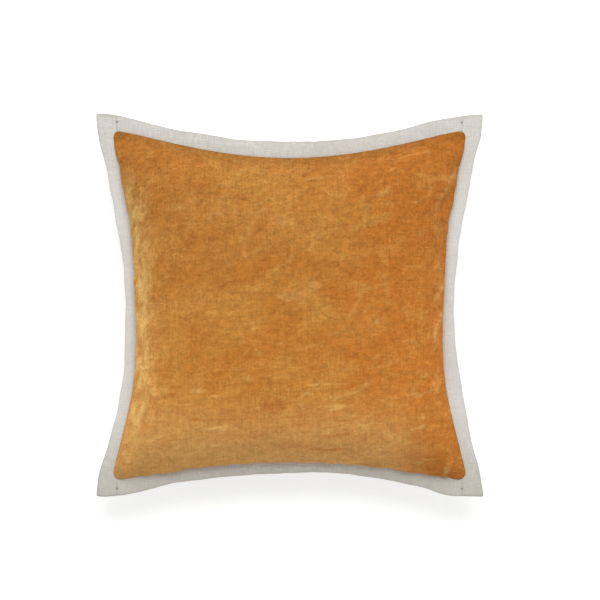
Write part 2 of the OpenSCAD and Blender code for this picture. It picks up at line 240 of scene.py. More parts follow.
def closed_faces(rows, cols):
    """Faces of a closed solid between two grids of points, the outer one and then the inner one."""
    count = rows * cols
    outer = grid_faces(rows, cols)
    inner = grid_faces(rows, cols, count)[:, ::-1]
    loop = edge_loop(np.arange(count).reshape(rows, cols))
    ahead = np.roll(loop, -1)
    rim = np.stack([ahead, loop, loop + count, ahead + count], axis=-1)
    return np.concatenate([outer, inner, rim])


def make_object(name, points, faces, material):
    """An object at the origin from points in millimetres, with smooth faces."""
    mesh = bpy.data.meshes.new(name)
    metres = np.asarray(points, float).reshape(-1, 3) * MM
    mesh.from_pydata(metres, [], [list(map(int, f)) for f in faces])
    mesh.polygons.foreach_set("use_smooth", [True] * len(mesh.polygons))
    mesh.materials.append(material)
    made = bpy.data.objects.new(name, mesh)
    bpy.context.scene.collection.objects.link(made)
    return made


def subdivide(piece, levels=1):
    """Smooths the piece with subdivision and keeps the result as its mesh."""
    modifier = piece.modifiers.new("smooth", "SUBSURF")
    modifier.levels = modifier.render_levels = levels
    shown = piece.evaluated_get(bpy.context.evaluated_depsgraph_get())
    mesh = bpy.data.meshes.new_from_object(shown)
    piece.modifiers.clear()
    piece.data = mesh
    return piece


def cloth(name, outside, thickness, material, levels=1, **marks):
    """A closed sheet of cloth: its outside grid, the same grid moved in by its thickness, and a rim.
    Each mark is a value per point, kept on the mesh for the material to read."""
    rows, cols, _ = outside.shape
    inside = outside - normals(outside) * np.broadcast_to(thickness, (rows, cols))[..., None]
    piece = make_object(name, np.stack([outside, inside]), closed_faces(rows, cols), material)
    for mark, values in marks.items():
        kept = piece.data.attributes.new(mark, "FLOAT", "POINT")
        kept.data.foreach_set("value", np.tile(values.ravel(), 2).astype(np.float32))
    return subdivide(piece, levels) if levels else piece


def tube(path, radii, sides, towards):
    """Points and faces of a closed tube along a path, which never runs in the direction of towards."""
    path = np.asarray(path, float)
    radii = np.broadcast_to(radii, len(path))
    along = np.gradient(path, axis=0)
    along /= np.linalg.norm(along, axis=-1, keepdims=True)
    out = np.cross(along, towards)
    out /= np.linalg.norm(out, axis=-1, keepdims=True)
    up = np.cross(out, along)
    turn = np.linspace(0, 2 * math.pi, sides, endpoint=False)
    ring = out[:, None] * np.cos(turn)[:, None] + up[:, None] * np.sin(turn)[:, None]
    points = (path[:, None] + ring * radii[:, None, None]).reshape(-1, 3)
    faces = []
    for r in range(len(path) - 1):
        for s in range(sides):
            a, b = r * sides + s, r * sides + (s + 1) % sides
            faces.append((a, b, b + sides, a + sides))
    faces.append(tuple(range(sides - 1, -1, -1)))
    faces.append(tuple(range((len(path) - 1) * sides, len(path) * sides)))
    return points, faces


def joined(parts):
    """Several lots of points and faces as one."""
    points, faces, start = [], [], 0
    for part_points, part_faces in parts:
        points.append(part_points)
        faces += [tuple(i + start for i in f) for f in part_faces]
        start += len(part_points)
    return np.concatenate(points), faces


def stitch(a, b, radius, rise):
    """One short thread from a to b, thin at its ends, where it goes down into the cloth."""
    share = np.linspace(0, 1, 7)
    hump = np.sin(math.pi * share)
    path = a + (b - a) * share[:, None]
    path[:, 2] += rise * (hump - 0.5)
    return tube(path, radius * (0.45 + 0.55 * hump ** 0.5), 8, (0, 0, 1))


# ---- the filled cover ----

def softened(grid, passes=4):
    """The grid with its inner points drawn towards the mean of their neighbours, a few times over."""
    grid = grid.copy()
    for _ in range(passes):
        mean = (grid[:-2, 1:-1] + grid[2:, 1:-1] + grid[1:-1, :-2] + grid[1:-1, 2:]) / 4
        grid[1:-1, 1:-1] = (grid[1:-1, 1:-1] + mean) / 2
    return grid


def inflated(front, upper, lower):
    """The cover's sheets after they have swelled as cloth, with the seam and the hems held still."""
    sheets = [front, upper[:, ::-1], lower]
    starts = np.cumsum([0] + [s.shape[0] * s.shape[1] for s in sheets])
    points = np.concatenate([s.reshape(-1, 3) for s in sheets])
    faces = np.concatenate([grid_faces(*s.shape[:2], k) for s, k in zip(sheets, starts)])
    body = make_object("swelling", points, faces, None)
    held = body.vertex_groups.new(name="held")
    for s, k in zip(sheets, starts):
        edge = edge_loop(np.arange(s.shape[0] * s.shape[1]).reshape(s.shape[:2]) + k)
        held.add([int(i) for i in edge], 1.0, "REPLACE")
    near_zip = (points[:, 2] < BACK_BORDER) & (np.abs(points[:, 1] - ZIP_Y) < LEDGE_END + 4)
    held.add([int(i) for i in np.nonzero(near_zip)[0]], 1.0, "REPLACE")
    settings = body.modifiers.new("cloth", "CLOTH").settings
    settings.quality = 8
    settings.mass = 0.15
    settings.tension_stiffness = settings.compression_stiffness = 12
    settings.shear_stiffness = 4
    settings.bending_stiffness = 0.6
    settings.air_damping = 2
    settings.use_pressure = True
    settings.uniform_pressure_force = 4
    settings.shrink_min = -0.025
    settings.vertex_group_mass = "held"
    settings.effector_weights.gravity = 0
    scene = bpy.context.scene
    last_frame = 24
    for step in range(1, last_frame + 1):
        scene.frame_set(step)
    shown = body.evaluated_get(bpy.context.evaluated_depsgraph_get())
    swelled = np.empty(len(points) * 3)
    shown.data.vertices.foreach_get("co", swelled)
    swelled = swelled.reshape(-1, 3) / MM
    scene.frame_set(1)
    bpy.data.objects.remove(body)
    furthest = 12.0
    grids = []
    for s, first, last in zip(sheets, starts, starts[1:]):
        moved = softened((swelled - points)[first:last].reshape(s.shape))
        far = np.maximum(np.linalg.norm(moved, axis=-1, keepdims=True), 1e-9)
        grids.append(s + moved * furthest * np.tanh(far / furthest) / far)
    return grids[0], grids[1][:, ::-1], grids[2]


def ruffled(front, seed=3.0):
    """Adds the soft dents that a hand-plumped filling leaves, and small puckers close to the seam."""
    share = finer(crown(*np.meshgrid(ACROSS, ACROSS))[..., None])[..., 0]
    dents = 1.6 * smooth_noise(front, 95, seed) + 0.8 * smooth_noise(front, 38, seed + 9)
    dents *= np.clip(share * 1.5 - 0.25, 0, 1)
    puckers = 0.7 * smooth_noise(front * [1, 1, 0.3], 17, seed + 4)
    puckers *= np.clip(share * 6, 0, 1) * np.clip(1.2 - share * 2.2, 0, 1)
    return front + normals(front) * (dents + puckers)[..., None]


def creased_back(back, seed=6.0):
    """Adds soft hollows to the back, and short gathers that run in from its seam."""
    x, y, z = back[..., 0], back[..., 1], back[..., 2]
    off_zip = np.clip((np.abs(y - ZIP_Y) - LEDGE_END - 6) / 25, 0, 1)
    off_seam = np.clip((BACK_BORDER - z) / 12, 0, 1)
    hollows = 2.2 * smooth_noise(back, 70, seed) + 1.2 * smooth_noise(back, 30, seed + 7)
    by_side = np.abs(x) / PANEL_W > np.abs(y) / PANEL_H
    along = np.where(by_side[..., None], back * [0.25, 1, 0.25], back * [1, 0.25, 0.25])
    gathers = 1.5 * smooth_noise(along, 15, seed + 3) * np.clip((z - 8) / 20, 0, 1)
    return back + normals(back) * ((hollows + gathers) * off_zip * off_seam)[..., None]


def finer(grid):
    """The grid with a point put in smoothly between each two neighbours, in columns and then in rows."""
    for axis in (1, 0):
        if grid.shape[axis] == 1:
            continue
        line = np.moveaxis(grid, axis, 0)
        ends = np.concatenate([[2 * line[0] - line[1]], line, [2 * line[-1] - line[-2]]])
        between = (9 * (ends[1:-2] + ends[2:-1]) - ends[:-3] - ends[3:]) / 16
        made = np.empty((2 * len(line) - 1, *line.shape[1:]))
        made[0::2], made[1::2] = line, between
        grid = np.moveaxis(made, 0, axis)
    return grid


def evened(values, reach=3):
    """A row of values, each replaced by the mean of those up to reach away."""
    padded = np.pad(values, reach, mode="edge")
    return np.convolve(padded, np.full(2 * reach + 1, 1 / (2 * reach + 1)), "valid")


def velvet_side(y):
    """The velvet's seen half width at y. The filling has sunk, so it is least below the middle."""
    sunk = 5.5 * swell(y, -115, 75) - 1.2 * swell(y, 30, 35)
    full = 4.0 * swell(y, 154, 36) + 1.8 * swell(np.abs(y), 214, 20)
    return PANEL_W - PANEL_DRAW["side"] * drawn(y / PANEL_H) - sunk + full


def velvet_end(x, side):
    """The velvet's seen height at x, at the top (side 1) or the bottom (side -1), where it bags out."""
    if side > 0:
        return PANEL_H - PANEL_DRAW["top"] * drawn(x / PANEL_W)
    bagged = 5.5 * (swell(x, -172, 60) + swell(x, 180, 55)) + 1.0
    return PANEL_H - PANEL_DRAW["bottom"] * drawn(x / PANEL_W) + bagged


FINE_ACROSS = finer(ACROSS[None, :, None])[0, :, 0]


def refitted(front):
    """Brings the seen edge of the swelled velvet back to its outline. The seam stays where it is."""
    u, v = np.meshgrid(FINE_ACROSS, FINE_ACROSS)
    low = np.clip(1 - (front[..., 2] - VELVET_BASE) / ROLL_H, 0, 1)
    free = 1 - low ** 2
    front = front.copy()
    for axis, share in ((0, u), (1, v)):
        lines = front if axis == 0 else front.transpose(1, 0, 2)
        for sign in (-1, 1):
            out = sign * lines[..., axis]
            reach = out.max(axis=1)
            across = lines[np.arange(len(lines)), out.argmax(axis=1), 1 - axis]
            target = velvet_side(across) if axis == 0 else velvet_end(across, sign)
            factor = np.where(np.abs(FINE_ACROSS) < 0.985, target / reach, 1.0)
            grow = (evened(factor) - 1)[:, None]
            grow = grow if axis == 0 else grow.T
            ramp = np.clip((sign * share - 0.35) / 0.5, 0, 1)
            front[..., axis] *= 1 + grow * ramp * ramp * (3 - 2 * ramp) * free
    return front


# Soft folds of the velvet: x and y of both ends, half width and height. The filling has sunk, so those
# by the sides lean in as they go down.
FOLDS = [
    (-213, 160, -192, 128, 4.5, 1.2), (-204, 58, -186, 22, 4, 1.5), (-190, 30, -172, 0, 3.5, 1.2),
    (-196, 2, -178, -36, 3.5, 1.2), (-201, -42, -171, -114, 4.5, 1.6), (-184, -58, -178, -98, 3, 0.8),
    (-201, -128, -196, -168, 4, 1.0), (-214, -186, -205, -200, 3, 0.8), (208, 170, 181, 122, 3.5, 1.2),
    (190, 26, 180, 2, 3, 1.2), (191, -8, 181, -42, 3.5, 1.5), (190, -84, 186, -108, 3, 0.9),
    (204, -198, 197, -230, 3.5, 1.3), (110, 138, 128, 150, 4, 0.6), (62, 92, 92, 100, 3.5, 0.5),
    (-20, 112, 24, 96, 4, 0.6), (20, 20, 58, 38, 3, 0.5), (-66, -92, 10, -84, 3.5, 0.6),
    (44, -118, 100, -98, 3.5, 0.6), (-58, 62, -20, 76, 3, 0.5), (112, -152, 156, -172, 4, 0.6),
    (-118, -148, -66, -156, 3.5, 0.6), (120, 60, 124, 4, 3, 0.5), (-150, 120, -118, 134, 3.5, 0.5),
]


def folded(front):
    """The front with its soft folds, and how far each point is on the crest of one, from 0 to 1."""
    crest = np.zeros(front.shape[:2])
    lift = np.zeros(front.shape[:2])
    for x0, y0, x1, y1, half, height in FOLDS:
        length = math.hypot(x1 - x0, y1 - y0)
        along = ((front[..., 0] - x0) * (x1 - x0) + (front[..., 1] - y0) * (y1 - y0)) / length
        off = ((front[..., 0] - x0) * (y0 - y1) + (front[..., 1] - y0) * (x1 - x0)) / length
        off = off + 0.05 * length * np.sin(along / length * 3.1)
        from_middle = np.abs(2 * along / length - 1)
        ends = np.exp(-(from_middle ** 4) / 1.6) * (from_middle < 1.9)
        ridge = np.exp(-(off / half) ** 2)
        lift += height * ends * (ridge - 0.55 * np.exp(-((off - 1.7 * half) / half) ** 2))
        crest = np.maximum(crest, ends * ridge * min(1, height / 1.6) * 0.9)
    return front + normals(front) * lift[..., None], crest


def filled_sheets():
    """The velvet and the two parts of the back, swelled by the filling."""
    before_swelling, below_cad_top = 0.93, 1.0
    front = front_sheet(before_swelling * (VELVET_TOP - VELVET_BASE))
    upper = back_sheet(UPPER_ROWS, 1)
    lower = back_sheet(LOWER_ROWS, -1)
    front, upper, lower = inflated(front, upper, lower)
    for back in (upper, lower):
        back[:] = creased_back(back)
        back[..., 2] = over_floor(back[..., 2], 0.0, soft=2.0)
    front, crest = folded(ruffled(finer(front)))
    front = refitted(front)
    height = front[..., 2] - VELVET_BASE
    crown_height = VELVET_TOP - below_cad_top - VELVET_BASE
    front[..., 2] = VELVET_BASE + height * crown_height / height.max()
    return front, crest, upper, lower


# ---- the flange ----

def seam_x(y):
    return PANEL_W - (PANEL_DRAW["side"] + OVERHANG["side"]) * drawn(y / PANEL_H)


def seam_y(x, side):
    draw = PANEL_DRAW[side] + OVERHANG[side]
    return PANEL_H - draw * drawn(x / PANEL_W)


def flange_shift(points):
    """Points of the flange with its slight waves, which grow from the seam out, and drooping corners."""
    x, y = points[..., 0], points[..., 1]
    side = np.where(y > 0, 1.0, -1.0)
    outer_y = np.where(y > 0, cover_top(x), -cover_bottom(x))
    inner_y = np.where(y > 0, seam_y(x, "top"), seam_y(x, "bottom"))
    off_x = np.clip((np.abs(x) - seam_x(y)) / (cover_x(y) - seam_x(y)), 0, 1)
    off_y = np.clip((np.abs(y) - inner_y) / (outer_y - inner_y), 0, 1)
    zero = np.zeros_like(x)
    along_side = np.stack([np.sign(x) * 200, y, zero], axis=-1)
    along_top = np.stack([x, side * 200, zero], axis=-1)
    flat = np.stack([x, y, zero], axis=-1)
    out_x = 1.9 * smooth_noise(along_side, 34, 5.2) + 0.6 * smooth_noise(along_side, 12, 1.7)
    out_x += 3.0 * swell(y, 120, 80) + 2.5 * (swell(y, 216, 22) + swell(y, -216, 22))
    out_x += np.where(x < 0, -4.0 * swell(y, -120, 60), 1.6 * swell(y, -100, 90))
    out_y = 1.5 * smooth_noise(along_top, 40, 2.4) + 0.6 * smooth_noise(along_top, 13, 8.1)
    ears_top = 2.8 * swell(x, -215, 30) + 1.0 * swell(x, -125, 40) + 3.0 * swell(x, 198, 45)
    ears_bottom = 4.3 * swell(x, -208, 32) + 5.0 * swell(x, 202, 34) - 2.5 * swell(x, 60, 50)
    out_y += np.where(y > 0, ears_top, ears_bottom)
    lift = 2.2 * smooth_noise(flat, 46, 4.6) + 0.5 * smooth_noise(flat, 15, 6.3)
    far = np.maximum(off_x, off_y)
    moved = points.copy()
    moved[..., 0] += np.sign(x) * off_x * out_x
    moved[..., 1] += side * off_y * out_y
    moved[..., 2] += lift * far ** 1.5 - 4.5 * (off_x * off_y) ** 2
    return moved


def strip_surface(x, y, across):
    """Points of a strip's upper side, a little full between the seam and its turned edge."""
    full = 0.6 * np.sin(math.pi * np.clip(across, 0, 1)) - 0.35 * across ** 10
    return flange_shift(np.stack([x, y, STRIP_TOP - 0.2 + full], axis=-1))


# Steps across a strip, from its tucked edge to its turned edge, and how far it goes in past the seam
ACROSS_STRIP = np.array([0, 0.12, 0.26, 0.42, 0.58, 0.73, 0.86, 0.95, 1.0])
TUCK = 3.0


def side_strip(side):
    """The left or right strip. It runs the cover's full height and takes in both its corners."""
    up, across = np.meshgrid(np.linspace(-1, 1, 131), ACROSS_STRIP, indexing="ij")
    x = np.full_like(up, PANEL_W)
    for _ in range(3):
        y = up * np.where(up > 0, cover_top(x), -cover_bottom(x))
        inner = np.minimum(STRIP_JOINT, seam_x(np.clip(y, -PANEL_H, PANEL_H)) - TUCK)
        x = inner + across * (cover_x(y) - inner)
    grid = strip_surface(side * x, y, across)
    return grid if side > 0 else grid[:, ::-1]


def cross_strip(side):
    """The top or bottom strip, whose ends run a little way into the side strips."""
    overlap = 0.4
    reach = STRIP_JOINT + overlap
    x, across = np.meshgrid(np.linspace(-reach, reach, 121), ACROSS_STRIP, indexing="ij")
    inner = seam_y(x, "top" if side > 0 else "bottom") - TUCK
    outer = cover_top(x) if side > 0 else -cover_bottom(x)
    grid = strip_surface(x, side * (inner + across * (outer - inner)), across)
    return grid[:, ::-1] if side > 0 else grid


# Steps across the back's border, from the seam to its outer edge
BORDER = np.array([0.12, 0.3, 0.5, 0.7, 0.87, 1.0])


def back_panel(sheet, side):
    """A part of the back with its border, which is the underside of the flange."""
    last = sheet[-1]
    out = BORDER[:, None]
    y_out = cover_top(last[:, 0]) if side > 0 else cover_bottom(last[:, 0])
    beyond = np.stack([
        np.broadcast_to(last[:, 0], (len(BORDER), len(last))),
        last[:, 1] + out * (y_out - last[:, 1]),
        np.full((len(BORDER), len(last)), BACK_BORDER),
    ], axis=-1)
    middle = np.concatenate([sheet, beyond])
    ends = []
    for end in (0, -1):
        edge = middle[:, end]
        sign = np.sign(edge[0, 0])
        x = edge[:, None, 0] + BORDER * (sign * cover_x(edge[:, None, 1]) - edge[:, None, 0])
        y = np.broadcast_to(edge[:, None, 1], x.shape).copy()
        rows = slice(len(sheet), None)
        outer = cover_top(x[rows]) if side > 0 else cover_bottom(x[rows])
        y[rows] = edge[len(sheet) - 1, 1] + out * (outer - edge[len(sheet) - 1, 1])
        x[rows] = edge[rows, None, 0] + BORDER * (sign * cover_x(y[rows]) - edge[rows, None, 0])
        ends.append(np.stack([x, y, np.full(x.shape, BACK_BORDER)], axis=-1))
    grid = np.concatenate([ends[0][:, ::-1], middle, ends[1]], axis=1)
    on_border = np.clip((grid[..., 2] - BACK_BORDER + 3) / 3, 0, 1)[..., None]
    grid = grid + (flange_shift(grid) - grid) * on_border
    return grid[:, ::-1] if side > 0 else grid


def hem_thickness(grid):
    """Thickness of the back: doubled along the zip, where the hem is folded."""
    by_zip = (np.abs(grid[..., 1] - ZIP_Y) < LEDGE_FLAT) & (np.abs(grid[..., 0]) < OPENING_HALF + 3)
    return np.where(by_zip, 2 * LINEN_T, LINEN_T)


# ---- materials ----

class Painter:
    """Adds nodes to one new material. Inputs are sockets or values, by the socket's name or number."""

    def __init__(self, name, **shader):
        self.material = bpy.data.materials.new(name)
        self.material.use_nodes = True
        self.tree = self.material.node_tree
        self.shader = self.tree.nodes["Principled BSDF"]
        named = {k.replace("_", " ").title().replace("Ior", "IOR"): v for k, v in shader.items()}
        self.fill(self.shader, named)
        self.place = self.add("ShaderNodeTexCoord", {}).outputs["Object"]

    def fill(self, node, inputs):
        for key, value in inputs.items():
            if isinstance(value, bpy.types.NodeSocket):
                self.tree.links.new(value, node.inputs[key])
            else:
                node.inputs[key].default_value = value

    def add(self, kind, inputs, **settings):
        node = self.tree.nodes.new(kind)
        for key, value in settings.items():
            setattr(node, key, value)
        self.fill(node, inputs)
        return node

    def mark(self, name):
        """A value that was kept on the mesh's points, or 0 where there is none."""
        return self.add("ShaderNodeAttribute", {}, attribute_name=name).outputs["Fac"]

    def noise(self, size, stretch=(1, 1, 1), turn=0.0, detail=3.0, rough=0.55, bend=0.0):
        """Noise with lumps of about size metres, drawn out by stretch after a turn about Z."""
        mapping = self.add("ShaderNodeMapping", {"Vector": self.place}, vector_type="TEXTURE")
        self.fill(mapping, {"Rotation": (0, 0, math.radians(turn)), "Scale": stretch})
        made = self.add("ShaderNodeTexNoise", {
            "Vector": mapping.outputs[0], "Scale": 1 / size, "Detail": detail, "Roughness": rough,
            "Distortion": bend,
        })
        return made.outputs["Fac"]

    def math(self, operation, a, b=0.0):
        return self.add("ShaderNodeMath", {0: a, 1: b}, operation=operation).outputs[0]

    def between(self, value, low, high, start=0.0, end=1.0):
        """value from low to high as start to end, with soft ends."""
        node = self.add("ShaderNodeMapRange", {
            "Value": value, "From Min": low, "From Max": high, "To Min": start, "To Max": end,
        }, interpolation_type="SMOOTHSTEP")
        return node.outputs["Result"]

    def crease(self, size, stretch, turn):
        """Thin broken lines, 1 along their middle, about size metres apart."""
        lie = self.noise(size, stretch, turn, detail=2, rough=0.4)
        away = self.math("ABSOLUTE", self.math("SUBTRACT", lie, 0.5))
        here = self.between(self.noise(size * 0.8, stretch, turn + 50, detail=2), 0.5, 0.62)
        return self.math("MULTIPLY", self.between(away, 0.0, 0.03, 1, 0), here)

    def mix(self, share, a, b, blend="MIX"):
        node = self.add("ShaderNodeMix", {0: share, 6: a, 7: b}, data_type="RGBA", blend_type=blend)
        return node.outputs[2]

    def bump(self, heights):
        """Relief from (height, distance in metres, strength) layers, coarse to fine."""
        normal = None
        for height, distance, strength in heights:
            inputs = {"Height": height, "Distance": distance, "Strength": strength}
            if normal is not None:
                inputs["Normal"] = normal
            normal = self.add("ShaderNodeBump", inputs).outputs[0]
        self.fill(self.shader, {"Normal": normal})


def rgba(red, green, blue):
    """A colour given as 0 to 255 on screen, for a shader."""
    def linear(c):
        c /= 255
        return c / 12.92 if c <= 0.04045 else ((c + 0.055) / 1.055) ** 2.4
    return (linear(red), linear(green), linear(blue), 1.0)


def woven(p, thread, run):
    """Threads both ways: heights from 0 to 1 for the warp and the weft, uneven along their length."""
    warp = p.noise(thread, (1, run, run), detail=2, bend=0.1)
    weft = p.noise(thread, (run, 1, run), detail=2, bend=0.1)
    return warp, weft


def velvet_material():
    """Crushed velvet on a linen ground: clouded ochre, pale where the pile lies over, finely lined."""
    p = Painter("crushed_velvet", roughness=0.85, sheen_weight=0.16, sheen_roughness=0.35,
                sheen_tint=rgba(255, 206, 120), specular_ior_level=0.12)
    crest, worn, rim = p.mark("crest"), p.mark("worn"), p.mark("rim")
    x, y, _ = p.add("ShaderNodeSeparateXYZ", {0: p.place}).outputs
    clouds = p.noise(0.09, detail=3, rough=0.5, bend=0.6)
    patches = p.noise(0.036, (1.2, 0.8, 1), 24, detail=4, rough=0.66, bend=0.6)
    smears = p.noise(0.014, (2.6, 0.8, 1), 9, detail=5, rough=0.72, bend=0.8)
    crumbs = p.noise(0.0075, (1.3, 1, 1), 12, detail=5, rough=0.8)
    grain = p.noise(0.0032, detail=2, rough=0.7)
    warp, weft = woven(p, 0.0021, 14)
    sheen_streaks = p.noise(0.024, (0.6, 1.7, 1), -24, detail=4, rough=0.6, bend=0.5)
    combed = p.noise(0.017, (3.4, 0.7, 1), 5, detail=4, rough=0.62)
    crease = p.crease(0.045, (1.9, 0.8, 1), 20)
    dark_crease = p.crease(0.038, (2.2, 0.8, 1), 165)

    # Clouds of colour, more orange to the right, with patches and smears where the pile lies over
    tone = p.mix(p.between(clouds, 0.34, 0.68), rgba(187, 118, 48), rgba(194, 132, 60))
    tone = p.mix(p.between(x, 0.0, 0.18, 0, 0.65), tone, rgba(194, 113, 40))
    tone = p.mix(p.between(patches, 0.5, 0.72, 0, 0.45), tone, rgba(204, 148, 74))
    tone = p.mix(p.between(patches, 0.28, 0.46, 0.45, 0), tone, rgba(176, 102, 38))
    tone = p.mix(p.between(smears, 0.55, 0.74, 0, 0.55), tone, rgba(214, 164, 88))
    tone = p.mix(p.between(smears, 0.26, 0.44, 0.55, 0), tone, rgba(170, 96, 34))

    # Below, where the filling has sunk, painted sheen makes the velvet paler, and its pile there is combed
    # into streaks
    sunk = p.math("MULTIPLY", p.between(y, -0.1, -0.2, 0, 0.6), p.between(x, 0.2, 0.12))
    tone = p.mix(sunk, tone, rgba(206, 160, 96))
    low = p.between(y, -0.04, -0.12)
    dark_streaks = p.math("MULTIPLY", low, p.between(combed, 0.3, 0.44, 0.6, 0))
    tone = p.mix(dark_streaks, tone, rgba(176, 104, 42))
    pale_streaks = p.math("MULTIPLY", low, p.between(combed, 0.56, 0.7, 0, 0.5))
    tone = p.mix(pale_streaks, tone, rgba(222, 174, 100))

    # Painted sheen on the crests of the folds and by the left edge, and painted highlights and shade along
    # thin creases
    pale = p.math("MULTIPLY", crest, p.between(smears, 0.34, 0.62, 0.0, 0.7))
    tone = p.mix(pale, tone, rgba(232, 190, 116))
    # Painted sheen along the left edge, broken into streaks
    painted_left_sheen = p.math("MULTIPLY", worn, p.between(sheen_streaks, 0.34, 0.6, 0.15, 0.85))
    tone = p.mix(painted_left_sheen, tone, rgba(228, 184, 108))
    tone = p.mix(p.math("MULTIPLY", crease, 0.22), tone, rgba(226, 176, 104))
    tone = p.mix(p.math("MULTIPLY", dark_crease, 0.2), tone, rgba(158, 88, 30))

    # Threads, crumbs and grain, then painted light and shade: paler towards the bottom and darker towards
    # the top, darker at the lower end and along the top seam. Also darker at the lower right
    lines = p.math("ADD", p.between(warp, 0.35, 0.65, -0.8, 0.8), p.between(weft, 0.35, 0.65, -0.4, 0.4))
    lines = p.math("MULTIPLY", lines, p.between(patches, 0.35, 0.6, 0.3, 1))
    specks = p.math("ADD", p.between(crumbs, 0.3, 0.7, -2, 2), p.between(grain, 0.3, 0.7, -1.2, 1.2))
    unevenness = 0.078
    shade = p.math("MULTIPLY", p.math("ADD", lines, specks), unevenness)
    # Painted light and shade: paler towards the bottom, darker towards the top
    shade = p.math("ADD", shade, p.between(y, -0.2, 0.2, 1.1, 0.8))
    shade = p.math("MULTIPLY", shade, p.between(y, -0.14, -0.22, 1.0, 0.84))
    low_right = p.math("MULTIPLY", p.between(y, -0.1, -0.16), p.between(x, 0.13, 0.17, 0, 0.09))
    shade = p.math("MULTIPLY", shade, p.math("SUBTRACT", 1.0, low_right))
    # Painted shade along the top seam
    shade = p.math("MULTIPLY", shade, p.between(rim, 0, 1, 1.0, 0.82))
    grey = p.add("ShaderNodeCombineColor", {0: shade, 1: shade, 2: shade}).outputs[0]
    tone = p.mix(1.0, tone, grey, "MULTIPLY")
    p.fill(p.shader, {"Base Color": tone})
    p.bump([
        (patches, 0.003, 0.3), (crease, 0.001, 0.35), (dark_crease, -0.001, 0.35), (smears, 0.002, 0.4),
        (crumbs, 0.001, 0.5), (grain, 0.0005, 0.5), (warp, 0.0003, 0.4), (weft, 0.0003, 0.2),
    ])
    return p.material


def linen_material(name, pale, dark, thread=0.0007, painted_light_and_shade=0.0):
    """Plain-woven linen with slubs: uneven threads both ways and a few specks. Where its last argument is
    over 0, painted light makes it that much paler towards the left and right, and painted shade makes it
    as much darker and warmer along the bottom."""
    p = Painter(name, roughness=0.9, sheen_weight=0.08, sheen_roughness=0.5, specular_ior_level=0.25)
    warp, weft = woven(p, thread, 18)
    slub_up, slub_across = woven(p, thread * 3, 12)
    clouds = p.noise(0.03, detail=3)
    mottle = p.noise(0.007, detail=4, rough=0.7)
    specks = p.noise(0.0016, detail=1)
    threads = p.math("MULTIPLY", p.between(warp, 0.3, 0.65), p.between(weft, 0.3, 0.65))
    tone = p.mix(p.between(threads, 0.0, 0.55), dark, pale)
    tone = p.mix(p.between(slub_up, 0.55, 0.75, 0, 0.35), tone, pale)
    tone = p.mix(p.between(slub_across, 0.56, 0.76, 0, 0.4), tone, dark)
    tone = p.mix(p.between(clouds, 0.35, 0.65, 0.0, 0.22), tone, dark)
    tone = p.mix(p.between(mottle, 0.48, 0.7, 0, 0.7), tone, dark)
    tone = p.mix(p.between(specks, 0.74, 0.8, 0, 0.4), tone, rgba(150, 138, 118))
    # Painted shade where the rim mark is set, such as a strip's turned edge
    tone = p.mix(p.math("MULTIPLY", p.mark("rim"), 0.6), tone, rgba(166, 160, 148))
    # Painted light on the left and right, and painted shade along the bottom
    if painted_light_and_shade:
        x, y, _ = p.add("ShaderNodeSeparateXYZ", {0: p.place}).outputs
        off_x, off_y = p.math("ABSOLUTE", x), p.math("ABSOLUTE", y)
        by_side = p.math("MULTIPLY", p.between(off_x, 0.17, 0.21), p.between(off_y, 0.13, 0.22, 1, 0))
        tone = p.mix(p.math("MULTIPLY", by_side, painted_light_and_shade), tone, rgba(244, 244, 244))
        tone = p.mix(p.between(y, -0.19, -0.23, 0, painted_light_and_shade), tone, rgba(182, 174, 154))
    p.fill(p.shader, {"Base Color": tone})
    p.bump([(slub_up, 0.0006, 0.35), (slub_across, 0.0006, 0.35), (threads, 0.0004, 0.6)])
    return p.material


def thread_material(name, dark, pale):
    """Twisted sewing thread."""
    p = Painter(name, roughness=0.75, sheen_weight=0.1, specular_ior_level=0.3)
    twist = p.noise(0.0005, (1, 0.4, 1), 40, detail=1)
    p.fill(p.shader, {"Base Color": p.mix(p.between(twist, 0.3, 0.7), dark, pale)})
    p.bump([(twist, 0.0002, 0.6)])
    return p.material


def coil_material():
    """Slightly glossy nylon."""
    p = Painter("zip_nylon", roughness=0.42, specular_ior_level=0.5)
    cloud = p.noise(0.006, detail=2)
    p.fill(p.shader, {"Base Color": p.mix(cloud, rgba(206, 200, 186), rgba(222, 217, 205))})
    p.bump([(p.noise(0.0008, detail=2), 0.0001, 0.3)])
    return p.material


def brass_material():
    """Worn antique brass: darker and rougher in patches, with fine scratches."""
    p = Painter("antique_brass", metallic=1.0)
    wear = p.noise(0.004, detail=4, rough=0.65)
    scratches = p.noise(0.0008, (6, 1, 1), 18, detail=2)
    tone = p.mix(p.between(wear, 0.35, 0.65), rgba(132, 108, 66), rgba(196, 168, 112))
    p.fill(p.shader, {"Base Color": tone, "Roughness": p.between(wear, 0.3, 0.7, 0.5, 0.26)})
    p.bump([(scratches, 0.0001, 0.25)])
    return p.material


def wadding_material():
    """Soft white polyester filling."""
    p = Painter("filling_fibre", roughness=1.0, sheen_weight=0.3)
    fibres = p.noise(0.002, (4, 1, 1), 30, detail=4, bend=2.0)
    p.fill(p.shader, {"Base Color": p.mix(fibres, rgba(228, 227, 222), rgba(248, 248, 245))})
    p.bump([(p.noise(0.02, detail=3), 0.004, 0.5), (fibres, 0.001, 0.6)])
    return p.material


def floor_material():
    """Matte white paper, a little luminous so that it stays white round the pillow."""
    p = Painter("paper_floor", roughness=1.0, specular_ior_level=0.0,
                emission_color=(1, 1, 1, 1), emission_strength=0.35)
    grain = p.noise(0.01, detail=2)
    p.fill(p.shader, {"Base Color": p.mix(grain, rgba(238, 238, 238), rgba(242, 242, 242))})
    return p.material


